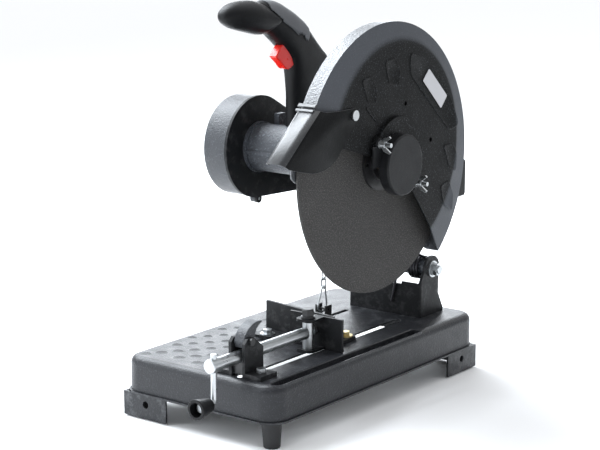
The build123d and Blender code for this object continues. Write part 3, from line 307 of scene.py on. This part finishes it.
def modify(o, kind, **settings):
    """Adds one modifier and applies it to the piece's mesh."""
    mod = o.modifiers.new(kind.lower(), kind)
    for key, value in settings.items():
        setattr(mod, key, value)
    done = bpy.data.meshes.new_from_object(o.evaluated_get(bpy.context.evaluated_depsgraph_get()))
    o.modifiers.clear()
    o.data = done
    return o


def between(stations, steps):
    """Catmull-Rom points through the stations, each a tuple of numbers."""
    out = []
    n = len(stations)
    for i in range(n - 1):
        p0, p1 = stations[max(i - 1, 0)], stations[i]
        p2, p3 = stations[i + 1], stations[min(i + 2, n - 1)]
        for k in range(steps):
            t = k / steps
            out.append(tuple(
                0.5 * (2 * b + (c - a) * t + (2 * a - 5 * b + 4 * c - d) * t * t
                       + (3 * b - a - 3 * c + d) * t ** 3)
                for a, b, c, d in zip(p0, p1, p2, p3)))
    out.append(stations[-1])
    return out


def ring_points(station, mid_x, count):
    """Rounded section between a top and a bottom point, with half width and squareness."""
    ty, tz, by, bz, half, square = station
    cy, cz = (ty + by) / 2, (tz + bz) / 2
    hy, hz = (ty - by) / 2, (tz - bz) / 2
    out = []
    for k in range(count):
        a = 2 * math.pi * k / count
        c, s = math.cos(a), math.sin(a)
        u = math.copysign(abs(c) ** (2 / square), c)
        v = math.copysign(abs(s) ** (2 / square), s)
        out.append(at(mid_x + half * v, cy + hy * u, cz + hz * u))
    return out


def loft(name, stations, mid_x, finish, body, steps=6, count=56):
    verts, faces = [], []
    rings = between(stations, steps)
    for station in rings:
        verts += ring_points(station, mid_x, count)
    for i in range(len(rings) - 1):
        for k in range(count):
            a, b = i * count + k, i * count + (k + 1) % count
            faces.append((a, b, b + count, a + count))
    faces.append(tuple(range(count)))
    faces.append(tuple(range((len(rings) - 1) * count, len(rings) * count)))
    return piece(name, verts, faces, finish, body, 40.0)


def prism(name, outline, x0, x1, finish, body, bevel=0.0, segments=3):
    """Closed outline of (y, z) points drawn across from x0 to x1, with rounded edges."""
    n = len(outline)
    verts = [at(x0, y, z) for y, z in outline] + [at(x1, y, z) for y, z in outline]
    faces = [tuple(range(n)), tuple(range(2 * n - 1, n - 1, -1))]
    faces += [(i, (i + 1) % n, n + (i + 1) % n, n + i) for i in range(n)]
    o = piece(name, verts, faces, finish, body, 35.0)
    if bevel:
        modify(o, "BEVEL", width=bevel / 1000, segments=segments, limit_method="ANGLE",
               angle_limit=math.radians(35))
    return o


# ------------------------------------------------------------------ handle
# Stations of a loft: top (y, z), bottom (y, z), half width and squareness.
bulb_stations = [
    (-146.5, 533, -146.5, 528, 4, 2.0), (-145, 537, -144, 524, 8, 2.1),
    (-140.5, 542, -138, 519.8, 12.5, 2.15), (-131, 546.6, -127, 515, 17, 2.2),
    (-118, 549.2, -112, 511, 20, 2.2), (-103, 550, -96, 507.3, 21.5, 2.2),
    (-88, 549.2, -82, 504, 21.5, 2.2), (-74, 545.6, -70, 502.8, 20.8, 2.2),
    (-60, 539.8, -58, 505, 20.0, 2.2), (-47, 531, -46.5, 510.5, 19.3, 2.2),
    (-40, 523.5, -40, 517, 17.5, 2.1)]
grip_bulb = loft("grip_bulb", bulb_stations, HANDLE_X, "black_plastic", "arm")
body_stations = [
    (-74, 545.5, -72, 505.5, 14, 2.2), (-62, 547.2, -60, 503.2, 16.5, 2.3),
    (-48, 546.6, -50, 499.3, 17.4, 2.4), (-34, 542.6, -42, 493.8, 17.6, 2.5),
    (-21, 536.6, -33, 487.5, 17.8, 2.6), (-7, 529.6, -24, 480.8, 17.8, 2.8),
    (8, 521, -15, 472, 17.4, 2.8), (22, 512, -8.5, 462.5, 16.8, 2.8), (37, 499, -6, 450, 16, 2.7),
    (52, 485, -5, 438, 15.3, 2.7), (66, 472.5, -4.5, 425, 14.8, 2.7), (79, 460, -4, 412, 14.4, 2.7),
    (82, 436, -4, 396, 14.2, 2.8), (72, 410, -4, 378, 14.2, 2.8), (60, 385, -4, 362, 14.2, 2.8),
    (54, 360, -4, 349, 14.2, 2.8), (51, 340, -4, 340, 14.2, 2.8)]
handle_shell = loft("handle_shell", body_stations, HANDLE_X, "black_plastic", "arm")
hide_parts("soft_grip")
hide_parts("handle_left", "handle_right")


def above(y, z, line):
    """True where (y, z) lies above the line of points, taken from front to back."""
    for (y0, z0), (y1, z1) in zip(line, line[1:]):
        if y0 <= y <= y1:
            return z > z0 + (z1 - z0) * (y - y0) / (y1 - y0)
    return False


def grip_overlay():
    """Grey rubber skin on the back of the neck, with a notch and a tongue in its lower edge; its grey is
    set lighter than the rubber's own, partly a painted highlight.
    """
    edge = [(-62, 537.0), (-41, 521.5), (-28.6, 512.8), (-8.2, 499.5), (2.1, 500.3),
            (9.7, 495.7), (12.4, 490), (17.7, 488.7), (22.9, 494.6), (25, 503), (31, 504)]
    rings = between(body_stations, 14)
    count = 96
    points = [ring_points(tuple(st[:4]) + (st[4] + 0.7, st[5]), HANDLE_X, count) for st in rings]
    verts, faces, index = [], [], {}
    for i in range(len(rings) - 1):
        for k in range(count):
            corners = ((i, k), (i, (k + 1) % count), (i + 1, (k + 1) % count), (i + 1, k))
            mid = sum((points[a][b] for a, b in corners), Vector()) / 4
            y, z = mid.y * 1000 - SHIFT_Y, mid.z * 1000 - SHIFT_Z
            if not above(y, z, edge):
                continue
            face = []
            for key in corners:
                if key not in index:
                    index[key] = len(verts)
                    verts.append(points[key[0]][key[1]])
                face.append(index[key])
            faces.append(tuple(face))
    skin = piece("grip_overlay", verts, faces, "soft_grip", "arm", 40.0)
    return modify(skin, "SOLIDIFY", thickness=0.0012, offset=0.2)


grip_overlay()


# ------------------------------------------------------------------ trigger
trigger = prism("trigger_lever", [
    (-43.1, 470.2), (-37.5, 465.8), (-31.1, 461.0), (-26.4, 456.2), (-22.3, 452.8),
    (-16, 451.3), (-10, 452.7), (-1, 457.5), (0, 463), (2, 474), (-4, 488), (-22, 490),
    (-32.7, 483.4)], -34, -21, "red_plastic", "trigger_body", 1.6)
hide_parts("trigger")


# ------------------------------------------------------------------ vise lever and tube rib
lever = prism("half_nut_scoop", [
    (-216, 116.2), (-221, 118), (-224, 126), (-220.5, 135), (-213.5, 142.5), (-204, 147.5),
    (-194, 149.5), (-186, 149), (-185, 147.2), (-191, 144.5), (-197, 139.5), (-200.5, 132),
    (-202, 124), (-202, 116.2)],
    49.6, 66.4, "grey_paint", "half_nut", 1.4)
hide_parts("half_nut_lever")
prism("tube_parting_rib", [(-31, 337.4), (-35.3, 336.8), (-35.7, 334), (-35.3, 331.2), (-31, 330.6)],
      -80, 66, "cast", "arm", 0.5, 2)


# ------------------------------------------------------------------ spark deflector
def spark_hood():
    """Bent sheet: flat side on the guard, rounded bend and a sloping band over the wheel."""
    side = [(-166.6, 426.5), (-150, 422.3), (-123, 421), (-92, 421), (-85.6, 418.4)]
    side += [(-83, 412), (-85.6, 405.6)]
    side += [(-101, 388.5), (-116.7, 371.2), (-124.2, 364.0), (-131.7, 357.6), (-141.6, 352.0)]
    side += [(-154, 348.7), (-166.2, 347.5), (-178.4, 348.1), (-202.3, 353.4), (-225.9, 360)]
    side.append((-234.6, 366.5))

    def plane_x(y):
        return 143.3 - 3.5 * (-92 - y) / 142.6

    verts = [at(plane_x(y), y, z) for y, z in side]
    n = len(verts)
    verts += [at(108.6, -234.6, 366.5), at(108.6, -166.6, 426.5)]
    verts += [at(108.6, -166, 410), at(108.6, -197, 374), at(108.6, -224, 362.5)]
    faces = [tuple(range(n)), (n - 1, n, n + 1, 0), (n, n + 4, n + 3, n + 2, n + 1)]
    o = piece("spark_hood", verts, faces, "deflector_paint", "deflector", 50.0)
    bm = bmesh.new()
    bm.from_mesh(o.data)
    bm.edges.ensure_lookup_table()
    bends = [e for e in bm.edges if len(e.link_faces) == 2 and e.calc_length() > 0.05]
    bmesh.ops.bevel(bm, geom=bends, offset=0.0085, segments=7, affect="EDGES", profile=0.5)
    bm.to_mesh(o.data)
    bm.free()
    smooth_by_angle(o, 40.0)
    modify(o, "SOLIDIFY", thickness=0.0015, offset=0.0)
    modify(o, "BEVEL", width=0.0003, segments=1, limit_method="ANGLE", angle_limit=math.radians(50))
    # The flat side takes the darker copy of the hood paint (painted shade); the bend and band keep the
    # lighter copy (painted highlight).
    o.data.materials.append(finishes["deflector_side"])
    for polygon in o.data.polygons:
        polygon.material_index = 1 if abs(polygon.normal.x) > 0.93 else 0
    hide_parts("spark_deflector")
    along = Vector((-234.6 + 166.6, 366.5 - 426.5)).normalized()
    for i, (start, width) in enumerate(((-7.5, 5.5), (0.5, 4.5))):
        y, z = -166.6 + along.x * start, 426.5 + along.y * start
        end = (y + along.x * width, z + along.y * width)
        lift = 2.6 - 0.7 * i
        raised_end = (end[0] + along.y * lift, end[1] - along.x * lift)
        raised = (y + along.y * lift, z - along.x * lift)
        prism("deflector_hem_%d" % (i + 1), [(y, z), end, raised_end, raised], 108.6, 136.5,
              "deflector_paint", "deflector", 0.9, 3)


spark_hood()


# ------------------------------------------------------------------ tread pattern of the base
def tread_scales():
    """Raised eyelid scales pressed into the left half of the work surface."""
    verts, faces = [], []
    cells = 10

    def scale(cx, cy, r, high):
        turn = math.radians(38)
        first = len(verts)
        for j in range(5):
            v = j / 4
            for i in range(cells + 1):
                u = -1 + 2 * i / cells
                arch = math.sqrt(max(0.0, 1 - u * u))
                x = r * u
                y = r * (0.42 * arch - v * (0.55 + 0.55 * arch))
                h = high * arch * (1 - v) ** 1.6
                px = cx + x * math.cos(turn) - y * math.sin(turn)
                py = cy + x * math.sin(turn) + y * math.cos(turn)
                verts.append(at(px, py, WORK_SURFACE + h - 0.05))
        for j in range(4):
            for i in range(cells):
                a = first + j * (cells + 1) + i
                faces.append((a, a + 1, a + cells + 2, a + cells + 1))
        foot = len(verts)
        for i in range(cells + 1):
            p = verts[first + i]
            verts.append(Vector((p.x, p.y, at(0, 0, WORK_SURFACE - 0.1).z)))
        faces.extend((first + i, first + i + 1, foot + i + 1, foot + i) for i in range(cells))

    for i in range(-14, 26):
        for j in range(-4, 6):
            x, y = -107 + i * 13.5 + j * 35, -221 + i * 18.3 - j * 4
            if -110 < x < -22 and -222 < y < 132:
                big = max(0.0, min(1.0, (-y - 120) / 110))
                scale(x, y, 6.8 + 2.8 * big, 1.35)
    piece("tread_scales", verts, faces, "base_paint", "base", 60.0)


tread_scales()


# ------------------------------------------------------------------ embossing of the guard
def rounded(points, r, steps=5):
    """Closed outline with its corners rounded."""
    out = []
    n = len(points)
    for i in range(n):
        p, a, b = Vector(points[i]), Vector(points[i - 1]), Vector(points[(i + 1) % n])
        da, db = (a - p).normalized(), (b - p).normalized()
        cut = min(r, (a - p).length * 0.45, (b - p).length * 0.45)
        for k in range(steps + 1):
            t = k / steps
            out.append((1 - t) ** 2 * (p + da * cut) + 2 * t * (1 - t) * p + t * t * (p + db * cut))
    return out


def embossed_pad(name, points, r=5.0, width=3.2, high=0.9, x=FACE_X):
    """Low raised panel: a sloping step all round and a flat top."""
    outer = rounded(points, r)
    centre = sum(outer, Vector((0, 0))) / len(outer)
    n = len(outer)
    rows = ((0.0, -0.05), (0.5, high * 0.75), (1.0, high), (1.9, high * 0.92), (2.6, high * 0.45))
    verts, faces = [], []
    for inset, lift in rows:
        for p in outer:
            q = p + (centre - p).normalized() * inset * width / 2
            verts.append(at(x + lift, q.x, q.y))
    for j in range(len(rows) - 1):
        for i in range(n):
            k = (i + 1) % n
            faces.append((j * n + i, j * n + k, (j + 1) * n + k, (j + 1) * n + i))
    faces.append(tuple(range((len(rows) - 1) * n, len(rows) * n)))
    o = piece(name, verts, faces, "black_powder_coat", "arm", 60.0)
    o.data.materials[0] = frame["nodes"]["guard_face"].data.materials[0]
    return o


PADS = [
    [(-74.5, 455.3), (-54, 460), (-38, 441), (-40.6, 419.5), (-61, 424)],
    [(-22.7, 475.2), (2, 479), (16, 459), (12.1, 437.4), (-14, 444)],
    [(37, 482.2), (67, 474), (108, 447), (140, 409), (162.4, 368.7), (136.6, 362.8), (36, 452)],
    [(-65.5, 418.5), (-33, 389), (-30.7, 386), (-38, 402), (-60, 421)],
    [(121.6, 345.8), (146, 346), (158, 330), (156.5, 303), (136, 311)],
    [(115.7, 289.1), (137, 295), (151, 272), (147.5, 247.3), (122, 262)],
]
for i, pad in enumerate(PADS):
    embossed_pad("guard_emboss_%d" % (i + 1), pad, 9.0 if i == 2 else 5.0)

PLATE_CORNERS = [(81.8, 455.3), (127.6, 413.5), (112.7, 397.6), (66.9, 440.4)]


def label_plate():
    outline = rounded(PLATE_CORNERS, 2.5, 3)
    n = len(outline)
    verts = [at(143.0, p.x, p.y) for p in outline] + [at(143.5, p.x, p.y) for p in outline]
    faces = [tuple(range(n)), tuple(range(2 * n - 1, n - 1, -1))]
    faces += [(i, (i + 1) % n, n + (i + 1) % n, n + i) for i in range(n)]
    piece("plain_plate", verts, faces, "foil", "arm", 35.0)


label_plate()


# ------------------------------------------------------------------ floor, light and camera
bpy.ops.mesh.primitive_plane_add(size=14, location=(0, 0, 0))
floor = bpy.context.object
floor.name = "floor"
floor.data.materials.append(new_material("studio_floor", (0.93, 0.93, 0.93), 0.9)[0])

world = bpy.data.worlds.new("studio")
bpy.context.scene.world = world
world.use_nodes = True
world.node_tree.nodes["Background"].inputs["Color"].default_value = (0.93, 0.96, 1.0, 1)
world.node_tree.nodes["Background"].inputs["Strength"].default_value = 0.62


def soft_light(name, size, power, where, target):
    data = bpy.data.lights.new(name, "AREA")
    data.shape = "RECTANGLE"
    data.size, data.size_y = size
    data.energy = power
    data.color = (0.88, 0.94, 1.0)
    o = bpy.data.objects.new(name, data)
    bpy.context.scene.collection.objects.link(o)
    o.location = where
    o.rotation_euler = (Vector(target) - Vector(where)).to_track_quat("-Z", "Y").to_euler()
    return o


soft_light("softbox_top_left", (1.9, 1.5), 108, (-1.35, -0.02, 1.85), (0, 0, 0.25))
soft_light("softbox_back", (2.0, 0.6), 23, (-1.5, 1.9, 0.70), (0, 0, 0.15))
soft_light("fill_front", (1.0, 1.0), 13, (-1.2, -1.7, 0.75), (0, 0, 0.35))
sky = bpy.data.lights.new("sky", "SUN")
sky.energy = 1.6
sky.angle = math.radians(120)
sky_light = bpy.data.objects.new("sky", sky)
bpy.context.scene.collection.objects.link(sky_light)
sky_light.rotation_euler = Vector((0.35, -0.35, -1.0)).to_track_quat("-Z", "Y").to_euler()
bpy.context.scene.view_settings.view_transform = "Standard"

camera_data = bpy.data.cameras.new("camera")
camera_data.lens = 106.1
camera_data.sensor_width = 36.0
camera = bpy.data.objects.new("camera", camera_data)
bpy.context.scene.collection.objects.link(camera)
CAMERA_TURN, CAMERA_TILT = 37.31, 12.035   # degrees to the left of +Y, and down
turn = Matrix.Rotation(math.radians(CAMERA_TURN), 4, "Z")
turn = turn @ Matrix.Rotation(math.radians(90 - CAMERA_TILT), 4, "X")
camera.matrix_world = Matrix.Translation(at(1446.5, -1916.0, 746.4)) @ turn
bpy.context.scene.camera = camera
